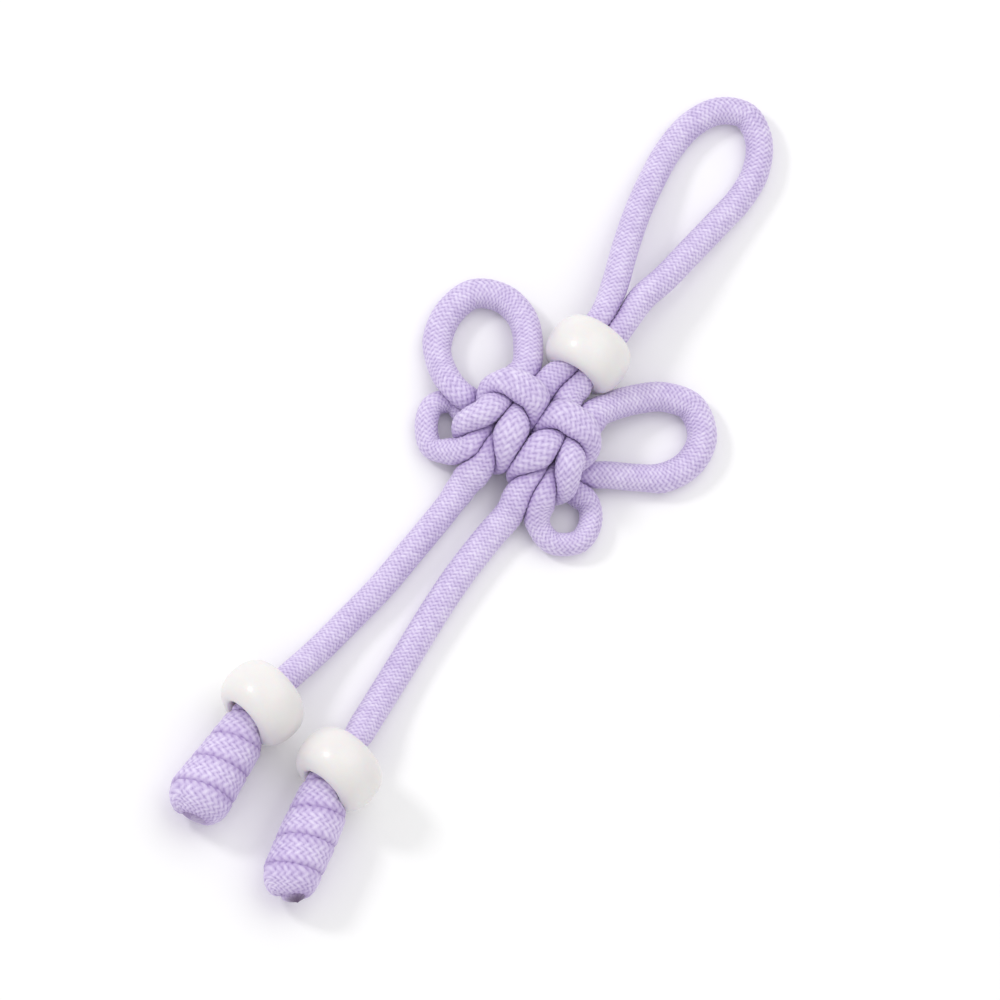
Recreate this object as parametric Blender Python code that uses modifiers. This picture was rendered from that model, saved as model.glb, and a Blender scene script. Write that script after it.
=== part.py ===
# A charm tied from one length of round braided cord, with three big-hole beads.
# From the top: a hanging loop, a bead over both strands, a butterfly knot with
# two large and two small loops, and two legs, each with a bead above a barrel knot.
# It lies face up on a table at z = 0, with X across it and +Y towards the loop.
# The named sizes and tables are in millimetres, the finished model is in metres.

import math

import bmesh
import bpy
import numpy as np
from mathutils import Matrix, Vector

MM = 0.001

# Cord
CORD_RADIUS = 2.1
LEAST_RADIUS = 0.3
STRAND_GAP = 0.3            # between two strands that press on each other
BEND_SHARE = 1.05           # how far the inside of a bend may close up
NEAR_ALONG = 7.0            # length of cord that counts as the same strand
CORD_SIDES = 12
FINE_STEP = 1.45            # length between sections in tight bends
LONG_STEP = 3.0             # length between sections in nearly straight cord
BEND_TO_STEP = 0.36         # length between sections as a share of the bend radius
STEP_WINDOW = 9             # route points over which the length between sections evens out
ROUTE_STEP = 0.8            # spacing of the points that the strands are settled on
FLAT_SNAP = 0.02            # a point this near the table lies on it
HALVINGS = 9                # search steps for each point of the cord's surface
BLUNT_SHARE = 0.25          # how much the sections of the barrel knots are rounded
LYING = 1.8                 # height of the cord's middle where it lies on the table

# How the knot is pulled tight
KNOT_TOP = 16.0
KNOT_BOTTOM = -17.0
PRESSED = 2.5               # least distance between two strands' middles in the knot
SETTLE_ROUNDS = 60
SETTLE_SHARE = 0.35

# Where the cord spreads wider than CORD_RADIUS if nothing presses it, later rows first:
# x from, x to, y from, y to, half width, share by which it is lower than wide
SPREAD = (
    (-30.0, 30.0, KNOT_BOTTOM, KNOT_TOP, 2.3, 0.1),
    (0.0, 8.0, -58.0, KNOT_BOTTOM, 2.3, 0.15),
    (-11.0, 11.0, -14.0, 4.5, 2.75, 0.22),
    (-30.0, -7.2, -14.0, 1.5, 2.1, 0.0),
    (7.2, 30.0, -14.0, 2.5, 2.1, 0.0),
    (-30.0, 30.0, -100.0, -67.0, 2.4, 0.0),
    (-30.0, -5.0, -100.0, -69.0, 3.3, 0.0),
    (-5.0, 30.0, -100.0, -71.4, 3.3, 0.0),
)

# Beads
BEAD_BORE = 3.4
BEAD_HALF_HEIGHT = 4.1
BEAD_LIP = 4.3              # radius where the outer curve meets the end face
BEAD_LIP_DEPTH = 0.9        # from the end face to where the hole's wall is straight
BEAD_BULGE = 2.35           # 2 is an ellipse, more is squarer
BEAD_FLAT = 0.08            # depth of the flat spot that the bead rests on
BEAD_STEPS = 32
BEAD_POINTS = 11            # points along the outer curve
LIP_POINTS = 3              # points round each lip
BEAD_CREASE = 50.0          # edges turning more degrees than this stay sharp
BEAD_GAP = 0.45
BEAD_NEAR = 9.0             # cord this near a bead's middle has close sections
MOUTH_DEPTH = 0.6           # the cord may widen from here, inside the bead's end,
MOUTH_REACH = 1.5           # to here, outside it,
MOUTH_FLARE = 0.6           # by this much for each millimetre

# name, x, y, radius, lean of the bead's axis in degrees, positive to the left at the bottom
BEADS = (
    ("bead_top", 0.8, 11.7, 6.35, 1.5),
    ("bead_left", -11.8, -63.0, 6.55, 16.0),
    ("bead_right", 3.1, -65.3, 6.7, 9.5),
)

# Routes of the cord's middle: x, y, z

# from the left strand in the top bead, round the hanging loop, to the right strand
HANGING_LOOP = (
    (-0.8, 8.4, 6.5),
    (-0.8, 14.0, 6.7),
    (-0.7, 18.2, 6.5),
    (-1.25, 24.4, 5.6),
    (-2.7, 29.0, 4.8),
    (-4.2, 36.0, 3.5),
    (-5.3, 42.4, 2.5),
    (-5.6, 47.8, LYING),
    (-4.8, 53.4, LYING),
    (-2.4, 57.6, LYING),
    (1.4, 59.2, LYING),
    (5.0, 57.0, LYING),
    (7.1, 52.6, LYING),
    (7.4, 47.8, LYING),
    (6.6, 42.4, 2.5),
    (5.5, 36.0, 3.5),
    (4.3, 29.0, 4.8),
    (3.15, 24.4, 5.6),
    (2.75, 18.2, 6.5),
    (2.6, 14.0, 6.7),
    (2.5, 8.4, 6.5),
)

# one half of the knot in the order of the cord, from the bead's strand to the wing
STRAND_TO_WING = (
    (-1.7, 4.9, 6.0),
    (-2.4, 1.0, 5.6),
    (-3.2, -2.6, 6.9),
    (-2.9, -5.6, 8.2),
    (-2.6, -7.5, 7.1),
    (-2.6, -8.5, 4.6),
    (-3.6, -8.6, 2.4),
    (-5.5, -8.5, 1.9),
    (-7.0, -8.3, 2.4),
    (-7.9, -8.0, 4.6),
    (-7.9, -7.0, 7.0),
    (-7.4, -5.3, 8.1),
    (-7.0, -2.9, 7.5),
    (-6.5, 1.0, 5.6),
)

WING_LEFT = (
    (-6.0, 4.7, 5.2),
    (-7.4, 8.5, 4.0),
    (-10.4, 12.2, 2.7),
    (-14.4, 13.5, LYING),
    (-18.5, 11.6, LYING),
    (-20.1, 6.7, LYING),
    (-19.1, 1.8, LYING),
    (-16.5, -1.3, 2.4),
    (-12.8, -3.7, 4.2),
)

WING_RIGHT = (
    (6.6, 4.4, 5.2),
    (8.1, 7.8, 4.0),
    (11.0, 11.6, 2.8),
    (13.9, 14.1, 2.2),
    (18.2, 15.2, LYING),
    (21.9, 12.2, LYING),
    (22.5, 7.7, LYING),
    (20.5, 3.5, LYING),
    (17.0, 1.0, 2.0),
    (13.2, -1.3, 2.5),
)

# from the wing to the middle of the knot and back out to the small loop
MIDDLE_LEFT = (
    (-9.8, -3.8, 4.0),
    (-6.2, -3.4, 2.3),
    (-0.9, -3.3, 1.9),
    (0.9, -4.6, 1.9),
    (-0.9, -6.0, 1.9),
    (-6.0, -6.1, 1.9),
    (-9.6, -5.7, 1.7),
)

MIDDLE_RIGHT = (
    (10.0, -3.2, 2.3),
    (7.4, -3.2, 1.9),
    (5.3, -3.3, 1.9),
    (4.1, -4.6, 1.9),
    (5.3, -6.0, 1.9),
    (7.4, -6.1, 1.9),
    (10.0, -6.2, 1.9),
)

SMALL_LOOP_LEFT = (
    (-12.1, -5.2, 1.7),
    (-14.1, -7.1, LYING),
    (-13.5, -9.9, LYING),
    (-11.1, -12.3, LYING),
    (-8.4, -12.0, 3.2),
)

SMALL_LOOP_RIGHT = (
    (12.9, -6.9, LYING),
    (14.6, -9.4, LYING),
    (14.5, -12.4, LYING),
    (11.5, -14.6, LYING),
    (8.5, -13.8, 2.4),
    (6.5, -12.0, 3.8),
)

# from the small loop over the front bar and down to the leg
SMALL_LOOP_TO_LEG = (
    (-6.1, -10.3, 4.9),
    (-6.4, -8.2, 5.2),
    (-6.9, -5.9, 4.9),
    (-7.2, -3.6, 4.8),
    (-7.3, -1.6, 6.4),
    (-6.2, -0.3, 8.4),
    (-4.5, 0.1, 9.0),
    (-2.6, 0.1, 8.8),
    (-1.3, -1.0, 7.0),
    (-1.5, -2.8, 4.9),
    (-2.7, -5.2, 4.5),
    (-3.5, -7.3, 4.8),
    (-3.9, -9.3, 5.1),
)

LEG_LEFT = (
    (-4.2, -12.4, 3.9),
    (-4.3, -15.6, 2.4),
    (-4.5, -19.5, LYING),
    (-5.4, -27.6, LYING),
    (-6.4, -35.9, LYING),
    (-8.0, -44.2, LYING),
    (-9.3, -50.8, 2.7),
    (-10.6, -56.2, 4.2),
    (-11.6, -61.0, 5.2),
    (-12.1, -66.5, 5.1),
)

LEG_RIGHT = (
    (4.0, -12.4, 3.9),
    (3.8, -15.6, 2.4),
    (3.2, -19.5, LYING),
    (2.5, -27.6, LYING),
    (2.4, -35.9, LYING),
    (2.6, -44.2, LYING),
    (2.7, -52.0, 2.6),
    (2.8, -58.2, 4.2),
    (3.0, -63.2, 5.2),
    (3.4, -68.8, 5.1),
)

# Barrel knots: x and y of the start in the bead's mouth, lean, length, and the
# knot's own radius at the bead, at its middle and where the far end rounds off
BARREL_LEFT = {"x": -12.0, "y": -66.2, "lean": 1.0, "length": 18.3, "widths": (3.75, 4.65, 5.2)}
BARREL_RIGHT = {"x": 3.5, "y": -68.4, "lean": -8.5, "length": 18.9, "widths": (4.0, 4.45, 4.65)}
BARRELS_FROM = -67.5       # both barrel knots lie below this y
BARREL_TURNS = 3.85
BARREL_ROUND = 4.2          # length of the rounded far end
WRAP_INSET = 1.9            # from the knot's surface to the middle of its wraps
BARREL_HEIGHT = 4.75
BARREL_TOP = 1.7            # from the start to the middle of the first wrap
BARREL_END = 2.3            # from the far end to the middle of the last wrap
CORE_OFFSET = 0.8           # each of the two inner strands lies this far from the axis
WRAP_POINTS = 10            # route points in each turn
WRAP_START = 100.0          # angle round the knot of the first wrap, 90 is straight up
BARREL_NEAR = 3.0           # past the far end, the knot's shape stops mattering
BARREL_BESIDE = 8.0         # further from the axis than this, it is the other knot's cord


def clear_scene():
    for item in list(bpy.data.objects):
        bpy.data.objects.remove(item, do_unlink=True)


def make_collection(name):
    collection = bpy.data.collections.new(name)
    bpy.context.scene.collection.children.link(collection)
    return collection


def make_material(name, colour, roughness):
    material = bpy.data.materials.new(name)
    material.use_nodes = True
    shader = material.node_tree.nodes["Principled BSDF"]
    shader.inputs["Base Color"].default_value = (*colour, 1.0)
    shader.inputs["Roughness"].default_value = roughness
    shader.inputs["Metallic"].default_value = 0.0
    material.diffuse_color = (*colour, 1.0)
    return material


def mirrored(rows):
    return [(-x, y, z) for x, y, z in rows]


def barrel_axis(barrel):
    lean = math.radians(barrel["lean"])
    start = np.array([barrel["x"], barrel["y"], BARREL_HEIGHT])
    return start, np.array([-math.sin(lean), -math.cos(lean), 0.0])


# The barrel knot's own radius at a distance from its start.
def barrel_surface(barrel, distance):
    length = barrel["length"]
    places = np.array([0.0, 0.55, 1.0]) * (length - BARREL_ROUND)
    radius = np.interp(distance, places, barrel["widths"])
    share = np.clip((distance - length + BARREL_ROUND) / BARREL_ROUND, 0.0, 1.0)
    return radius * np.sqrt(1.0 - share ** 2)


# The barrel knot, from the leg to the cut tip: the leg's strand runs down the core,
# turns out at the far end, wraps back up towards the bead and goes down the core.
def barrel_route(barrel):
    lean = math.radians(barrel["lean"])
    start, along = barrel_axis(barrel)
    across = np.array([math.cos(lean), -math.sin(lean), 0.0])
    upward = np.array([0.0, 0.0, 1.0])
    length = barrel["length"]

    def place(distance, radius, angle):
        turn = math.radians(angle)
        side = across * math.cos(turn) + upward * math.sin(turn)
        return tuple(start + along * distance + side * radius)

    core = [place(share * length, CORE_OFFSET, 180.0) for share in (0.12, 0.35, 0.6)]
    far_turn = [
        place(length - 3.2, CORE_OFFSET, 180.0),
        place(length - 2.0, 1.3, 172.0),
        place(length - 1.9, 2.2, 150.0),
    ]
    wraps = []
    count = round(BARREL_TURNS * WRAP_POINTS)
    for index in range(count + 1):
        share = index / count
        distance = (length - BARREL_END) + (BARREL_TOP - length + BARREL_END) * share
        radius = float(barrel_surface(barrel, np.array(distance))) - WRAP_INSET
        wraps.append(place(distance, radius, WRAP_START - 360.0 * BARREL_TURNS * share))
    last_angle = WRAP_START - 360.0 * BARREL_TURNS
    near_turn = [
        place(BARREL_TOP - 0.1, 1.7, last_angle - 35.0),
        place(BARREL_TOP + 1.0, CORE_OFFSET, 0.0),
    ]
    tail = [place(share * length, CORE_OFFSET, 0.0) for share in (0.35, 0.6)]
    tip = [place(length - 3.0, 1.0, -10.0), place(length - 0.6, 1.7, -25.0)]
    return core + far_turn + wraps + near_turn + tail + tip


def cord_waypoints():
    left_end = list(LEG_LEFT) + barrel_route(BARREL_LEFT)
    left = list(STRAND_TO_WING) + list(WING_LEFT) + list(MIDDLE_LEFT)
    left += list(SMALL_LOOP_LEFT) + list(SMALL_LOOP_TO_LEG) + left_end
    right = mirrored(STRAND_TO_WING) + list(WING_RIGHT) + list(MIDDLE_RIGHT)
    right += list(SMALL_LOOP_RIGHT) + mirrored(SMALL_LOOP_TO_LEG)
    right += list(LEG_RIGHT) + barrel_route(BARREL_RIGHT)
    return np.array(left[::-1] + list(HANGING_LOOP) + right)


def lengths_along(points):
    steps = np.linalg.norm(np.diff(points, axis=0), axis=1)
    return np.concatenate([[0.0], np.cumsum(steps)])


def at_lengths(points, wanted):
    known = lengths_along(points)
    return np.stack([np.interp(wanted, known, points[:, axis]) for axis in range(3)], axis=1)


# A smooth curve through the waypoints, by cubic pieces whose slopes fit three points.
def smooth_curve(points, pieces=16):
    knots = np.concatenate([[0.0], np.cumsum(np.linalg.norm(np.diff(points, axis=0), axis=1) ** 0.5)])
    widths = np.diff(knots)[:, None]
    slopes = np.diff(points, axis=0) / widths
    inner = (slopes[:-1] * widths[1:] + slopes[1:] * widths[:-1]) / (widths[:-1] + widths[1:])
    tangents = np.concatenate([slopes[:1], inner, slopes[-1:]])
    result = []
    for index in range(len(points) - 1):
        share = np.linspace(0.0, 1.0, pieces, endpoint=False)[:, None]
        width = widths[index]
        one = (1.0 + 2.0 * share) * (1.0 - share) ** 2 * points[index]
        two = share * (1.0 - share) ** 2 * width * tangents[index]
        three = share ** 2 * (3.0 - 2.0 * share) * points[index + 1]
        four = share ** 2 * (share - 1.0) * width * tangents[index + 1]
        result.append(one + two + three + four)
    result.append(points[-1:])
    return np.concatenate(result)


# Strands that cross too closely push each other apart until the knot fits.
def settle(points):
    points = points.copy()
    along = lengths_along(points)
    apart = np.abs(along[:, None] - along[None, :]) > NEAR_ALONG
    inside = (points[:, 1] < KNOT_TOP) & (points[:, 1] > KNOT_BOTTOM)
    pairs = apart & inside[:, None] & inside[None, :]
    start = points.copy()
    for _ in range(SETTLE_ROUNDS):
        away = points[:, None, :] - points[None, :, :]
        distance = np.linalg.norm(away, axis=2) + 1e-9
        short = np.where(pairs, np.maximum(PRESSED - distance, 0.0), 0.0)
        deepest = short.argmax(axis=1)
        rows = np.arange(len(points))
        push = away[rows, deepest] / distance[rows, deepest][:, None]
        moved = points - start + push * short[rows, deepest][:, None] * SETTLE_SHARE
        moved[1:-1] = 0.5 * moved[1:-1] + 0.25 * (moved[:-2] + moved[2:])
        points = start + moved
        points[:, 2] = np.maximum(points[:, 2], np.minimum(start[:, 2], LYING))
    return points


def unit(vectors):
    return vectors / np.linalg.norm(vectors, axis=-1, keepdims=True)


def bend_radius(points):
    along = lengths_along(points)
    tangents = unit(np.gradient(points, along, axis=0))
    turning = np.linalg.norm(np.gradient(tangents, along, axis=0), axis=1)
    return 1.0 / np.maximum(turning, 1e-3)


# Sections stand close together in tight bends and further apart in straight cord.
def place_sections(points):
    step = np.clip(bend_radius(points) * BEND_TO_STEP, FINE_STEP, LONG_STEP)
    for bead in BEADS:
        centre, _ = bead_frame(bead)
        near = np.linalg.norm(points - centre, axis=1) < BEAD_NEAR
        step = np.where(near, FINE_STEP, step)
    window = np.ones(STEP_WINDOW) / STEP_WINDOW
    step = np.convolve(np.pad(step, STEP_WINDOW // 2, mode="edge"), window, mode="valid")
    along = lengths_along(points)
    passed = np.concatenate([[0.0], np.cumsum(np.diff(along) / (0.5 * (step[1:] + step[:-1])))])
    total = round(passed[-1])
    wanted = np.interp(np.linspace(0.0, passed[-1], total + 1), passed, along)
    return at_lengths(points, wanted), wanted


def bead_frame(bead):
    _, x, y, radius, lean = bead
    turn = math.radians(lean)
    axis = np.array([math.sin(turn), math.cos(turn), 0.0])
    return np.array([x, y, radius - BEAD_FLAT]), axis


def bead_outer(height, widest):
    share = np.clip(np.abs(height) / BEAD_HALF_HEIGHT, 0.0, 1.0)
    bulge = (1.0 - share ** BEAD_BULGE) ** (1.0 / BEAD_BULGE)
    return BEAD_LIP + (widest - BEAD_LIP) * bulge


# True where a point of the cord's surface is clear of the table, the beads and
# the other strands. Own is the distance to the strand that the point belongs to.
def is_clear(places, reach, along, route, route_along):
    clear = places[..., 2] >= 0.0
    for bead in BEADS:
        widest = bead[3]
        centre, axis = bead_frame(bead)
        away = places - centre
        height = away @ axis
        radius = np.linalg.norm(away - height[..., None] * axis, axis=-1)
        level = np.abs(height) < BEAD_HALF_HEIGHT + MOUTH_REACH
        past_lip = np.maximum(np.abs(height) - BEAD_HALF_HEIGHT + MOUTH_DEPTH, 0.0)
        mouth = BEAD_BORE - BEAD_GAP + MOUTH_FLARE * past_lip
        free = (radius < mouth) | (radius > bead_outer(height, widest) + BEAD_GAP)
        clear &= free | ~level
    for barrel in (BARREL_LEFT, BARREL_RIGHT):
        start, axis = barrel_axis(barrel)
        away = places - start
        distance = away @ axis
        radius = np.linalg.norm(away - distance[..., None] * axis, axis=-1)
        near = (np.linalg.norm(away[..., :2], axis=-1) < barrel["length"] + BARREL_NEAR) & (distance > BARREL_TOP)
        clear &= (radius <= barrel_surface(barrel, distance)) | ~near | (radius > BARREL_BESIDE)
    for index in range(len(places)):
        distance = np.linalg.norm(places[index][:, None, :] - route[None, :, :], axis=2)
        same = np.abs(route_along - along[index]) < NEAR_ALONG
        own = distance[:, same].min(axis=1)
        other = distance[:, ~same].min(axis=1)
        clear[index] &= other >= own + STRAND_GAP
        clear[index] &= reach[index] <= own * BEND_SHARE
    return clear


# Takes the sharp edges off each section.
def blunted(reach):
    beside = np.roll(reach, 1, axis=1) + np.roll(reach, -1, axis=1)
    return np.minimum(reach, (1.0 - BLUNT_SHARE) * reach + 0.5 * BLUNT_SHARE * beside)


def strand_reach(sections, along, directions, route):
    route_along = lengths_along(route)
    full = np.full(directions.shape[:2], CORD_RADIUS)
    for x_from, x_to, y_from, y_to, half_width, flatness in SPREAD:
        inside = (sections[:, 0] > x_from) & (sections[:, 0] < x_to)
        inside &= (sections[:, 1] > y_from) & (sections[:, 1] < y_to)
        spread = half_width * (1.0 - flatness * directions[..., 2] ** 2)
        full = np.where(inside[:, None], spread, full)
    low = np.full(full.shape, LEAST_RADIUS)
    high = full.copy()
    for _ in range(HALVINGS):
        middle = 0.5 * (low + high)
        places = sections[:, None, :] + directions * middle[..., None]
        clear = is_clear(places, middle, along, route, route_along)
        low = np.where(clear, middle, low)
        high = np.where(clear, high, middle)
    places = sections[:, None, :] + directions * full[..., None]
    whole = is_clear(places, full, along, route, route_along)
    reach = np.where(whole, full, low)
    in_barrel = sections[:, 1] < BARRELS_FROM
    reach[in_barrel] = blunted(reach[in_barrel])
    downward = np.maximum(-directions[..., 2], 1e-6)
    table = sections[:, None, 2] / downward
    return np.where(reach > table - FLAT_SNAP, table, reach)


# A plain round tube along the sections, with loose end caps. Its points are those of
# the last cap, then the first cap, then each section's ring in turn.
def round_tube(name, sections):
    curve = bpy.data.curves.new(name, "CURVE")
    curve.dimensions = "3D"
    curve.bevel_depth = CORD_RADIUS * MM
    curve.bevel_resolution = (CORD_SIDES - 4) // 2
    curve.use_fill_caps = True
    spline = curve.splines.new("POLY")
    spline.points.add(len(sections) - 1)
    for point, place in zip(spline.points, sections):
        point.co = (*(place * MM), 1.0)
    tube = bpy.data.objects.new(name, curve)
    bpy.context.scene.collection.objects.link(tube)
    evaluated = tube.evaluated_get(bpy.context.evaluated_depsgraph_get())
    mesh = bpy.data.meshes.new_from_object(evaluated)
    bpy.data.objects.remove(tube)
    return mesh


# The tube's rings take the shape that the neighbours, beads and table leave them.
def make_cord(collection, material):
    route = settle(at_even_steps(smooth_curve(cord_waypoints())))
    sections, along = place_sections(route)
    mesh = round_tube("cord", sections)
    places = np.empty(len(mesh.vertices) * 3)
    mesh.vertices.foreach_get("co", places)
    rings = places.reshape(-1, CORD_SIDES, 3)[2:] / MM
    directions = unit(rings - sections[:, None, :])
    reach = strand_reach(sections, along, directions, route)
    shaped = (sections[:, None, :] + directions * reach[..., None]) * MM
    with_caps = np.concatenate([shaped[-1:], shaped[:1], shaped])
    mesh.vertices.foreach_set("co", with_caps.ravel())
    work = bmesh.new()
    work.from_mesh(mesh)
    bmesh.ops.remove_doubles(work, verts=work.verts, dist=0.001 * MM)
    bmesh.ops.recalc_face_normals(work, faces=work.faces)
    work.to_mesh(mesh)
    work.free()
    mesh.shade_smooth()
    mesh.materials.clear()
    mesh.materials.append(material)
    cord = bpy.data.objects.new("cord", mesh)
    collection.objects.link(cord)
    return cord


def at_even_steps(points):
    total = lengths_along(points)[-1]
    return at_lengths(points, np.linspace(0.0, total, round(total / ROUTE_STEP) + 1))


def bead_profile(widest):
    outer = []
    for index in range(BEAD_POINTS):
        turn = math.pi * (index / (BEAD_POINTS - 1) - 0.5)
        rise = abs(math.sin(turn)) ** (2.0 / BEAD_BULGE) * math.copysign(1.0, math.sin(turn))
        bulge = abs(math.cos(turn)) ** (2.0 / BEAD_BULGE)
        outer.append((BEAD_LIP + (widest - BEAD_LIP) * bulge, -rise * BEAD_HALF_HEIGHT))
    lip = []
    for index in range(1, LIP_POINTS + 1):
        turn = 0.5 * math.pi * index / LIP_POINTS
        depth = BEAD_LIP_DEPTH * (1.0 - math.cos(turn))
        lip.append((BEAD_LIP - (BEAD_LIP - BEAD_BORE) * math.sin(turn), BEAD_HALF_HEIGHT - depth))
    return outer + [(radius, -height) for radius, height in lip] + [(BEAD_BORE, 0.0)] + lip[::-1]


# A turned ring from its profile, laid on its side and cut flat where it rests.
def make_bead(collection, material, bead):
    name, x, y, widest, lean = bead
    profile = bpy.data.meshes.new(name + "_profile")
    points = [(radius * MM, 0.0, height * MM) for radius, height in bead_profile(widest)]
    edges = [(index, (index + 1) % len(points)) for index in range(len(points))]
    profile.from_pydata(points, edges, [])
    turned = bpy.data.objects.new(name + "_turned", profile)
    bpy.context.scene.collection.objects.link(turned)
    screw = turned.modifiers.new("Screw", "SCREW")
    screw.steps = BEAD_STEPS
    screw.render_steps = BEAD_STEPS
    screw.use_merge_vertices = True
    screw.merge_threshold = 0.00001
    evaluated = turned.evaluated_get(bpy.context.evaluated_depsgraph_get())
    mesh = bpy.data.meshes.new_from_object(evaluated)
    bpy.data.objects.remove(turned)
    lay = Matrix.Rotation(math.radians(-lean), 4, "Z") @ Matrix.Rotation(math.radians(90.0), 4, "X")
    mesh.transform(Matrix.Translation(Vector((x, y, widest - BEAD_FLAT)) * MM) @ lay)
    work = bmesh.new()
    work.from_mesh(mesh)
    everything = work.verts[:] + work.edges[:] + work.faces[:]
    cut = bmesh.ops.bisect_plane(
        work, geom=everything, plane_co=(0.0, 0.0, 0.0), plane_no=(0.0, 0.0, -1.0), clear_outer=True
    )
    rim = [item for item in cut["geom_cut"] if isinstance(item, bmesh.types.BMEdge)]
    bmesh.ops.holes_fill(work, edges=rim)
    bmesh.ops.recalc_face_normals(work, faces=work.faces)
    work.to_mesh(mesh)
    work.free()
    mesh.shade_smooth()
    mesh.set_sharp_from_angle(angle=math.radians(BEAD_CREASE))
    mesh.materials.clear()
    mesh.materials.append(material)
    bead = bpy.data.objects.new(name, mesh)
    collection.objects.link(bead)
    return bead


# The middle of the charm's outline on the table becomes the origin.
def centre_on_origin(pieces):
    corners = np.array([vertex.co[:2] for piece in pieces for vertex in piece.data.vertices])
    middle = 0.5 * (corners.min(axis=0) + corners.max(axis=0))
    for piece in pieces:
        piece.location = (-middle[0], -middle[1], 0.0)


def build():
    clear_scene()
    collection = make_collection("knot_charm")
    lilac = make_material("lilac_cord", (0.60, 0.50, 0.82), 0.85)
    white = make_material("white_bead", (0.86, 0.83, 0.80), 0.18)
    pieces = [make_cord(collection, lilac)]
    for bead in BEADS:
        pieces.append(make_bead(collection, white, bead))
    centre_on_origin(pieces)


build()
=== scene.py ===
import math

import bpy
import numpy as np
from mathutils import Matrix, Vector


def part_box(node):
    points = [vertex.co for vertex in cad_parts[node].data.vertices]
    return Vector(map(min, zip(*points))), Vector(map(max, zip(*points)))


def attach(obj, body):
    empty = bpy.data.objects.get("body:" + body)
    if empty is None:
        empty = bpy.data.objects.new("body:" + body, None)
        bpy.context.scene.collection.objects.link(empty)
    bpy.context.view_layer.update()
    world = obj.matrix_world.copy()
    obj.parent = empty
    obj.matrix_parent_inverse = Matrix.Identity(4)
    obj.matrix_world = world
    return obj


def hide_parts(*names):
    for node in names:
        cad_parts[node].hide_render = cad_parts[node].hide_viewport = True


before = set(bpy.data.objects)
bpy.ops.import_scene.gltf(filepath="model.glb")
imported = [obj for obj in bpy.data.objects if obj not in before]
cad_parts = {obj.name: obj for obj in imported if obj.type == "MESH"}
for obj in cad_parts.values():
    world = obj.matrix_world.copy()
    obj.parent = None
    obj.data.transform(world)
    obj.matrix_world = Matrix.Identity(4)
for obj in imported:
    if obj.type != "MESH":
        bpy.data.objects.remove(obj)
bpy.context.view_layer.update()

# A charm tied from one length of lilac braided cord, lying face up, with three white beads.
# Places are in millimetres on the charm's own plan, and shift carries them to the frame.
# Leans and other angles are in degrees.

mm = 0.001
topBead = {
    "name": "top_bead", "node": "bead_top",
    "x": 0.8, "y": 11.7, "radius": 6.35, "lean": 1.5, "seed": 0.4,
}
leftBead = {
    "name": "left_bead", "node": "bead_left",
    "x": -11.8, "y": -63.0, "radius": 6.55, "lean": 16.0, "seed": 2.1,
}
rightBead = {
    "name": "right_bead", "node": "bead_right",
    "x": 3.1, "y": -65.3, "radius": 6.7, "lean": 9.5, "seed": 4.4,
}
beads = (topBead, leftBead, rightBead)
beadLow, beadHigh = (np.array(corner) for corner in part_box(topBead["node"]))
beadMiddle = 0.5 * (beadLow + beadHigh)
shift = np.array([beadMiddle[0] - topBead["x"] * mm, beadMiddle[1] - topBead["y"] * mm, 0.0])

bead = {
    "bore": 3.15,
    "halfHeight": 4.1,
    "lip": 3.75,            # where the outer curve meets the end face
    "lipDepth": 0.7,        # from the end face to where the hole's wall is straight
    "bulge": 2.2,           # 2 is an ellipse, more is squarer
    "flat": 0.08,           # depth of the flat spot it rests on
    "twoWaves": 0.006,      # how far it is out of round, as shares of its radius
    "threeWaves": 0.004,
    "outerSteps": 40,
    "lipSteps": 8,
    "boreLevels": (2.4, 1.2, 0.0, -1.2, -2.4),
    "around": 120,
    "mouthDepth": 0.6,      # the cord may widen from here, inside the end,
    "mouthReach": 1.5,      # to here, outside it,
    "mouthFlare": 0.6,      # by this much for each millimetre
}

cord = {
    "radius": 2.1,
    "least": 0.3,
    "strandGap": 0.03,      # between two strands that press on each other
    "beadGap": 0.1,
    "bendShare": 1.05,      # how far the inside of a bend may close up
    "nearAlong": 7.0,       # length of cord that counts as the same strand
    "curvePieces": 16,      # steps between two waypoints
    "routeStep": 0.8,
    "lying": 1.8,           # height of the cord's middle where it lies flat
    "pressed": 2.5,         # least distance between two strands' middles in the knot
    "knotTop": 16.0,
    "knotBottom": -17.0,
    "rounds": 60,           # the knot settles in this many rounds,
    "share": 0.35,          # and each takes up this share of what is too close
    "halvings": 8,          # steps that find how far the squeezed surface reaches
    "shadeReach": 0.55,     # how far from a crease the painted shade reaches
    "tipLength": 0.9,       # each cut end rounds off over this length
    "tipLimit": 0.98,       # 1 would bring it to a point
    "meltedLength": 0.9,    # and is melted over this, faintly on the left, dark on the right
    "meltedFade": 1.5,      # gone at this many of those lengths
    "melted": (0.3, 0.9),
    "sides": 32,            # directions in which the squeezed shape is worked out
    "finer": 5,             # finished rings for each of those worked out
    "denser": 9,            # times as many points round a ring, to pick the finished ones from
    "around": 84,           # finished points in each ring
}

braid = {
    "columns": 20,
    "pitch": 0.74,          # length of a stitch along the cord
    "slant": 0.45,          # rows that a stitch climbs over a column's width
    "reach": 0.76,          # half a stitch's width, in columns
    "depth": 0.19,
    "bulge": 1.9,           # 2 is a rounded stitch, less is more pointed
    "scatter": (12.9898, 78.233, 43758.5453),   # gives each stitch a chance value
}

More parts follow.
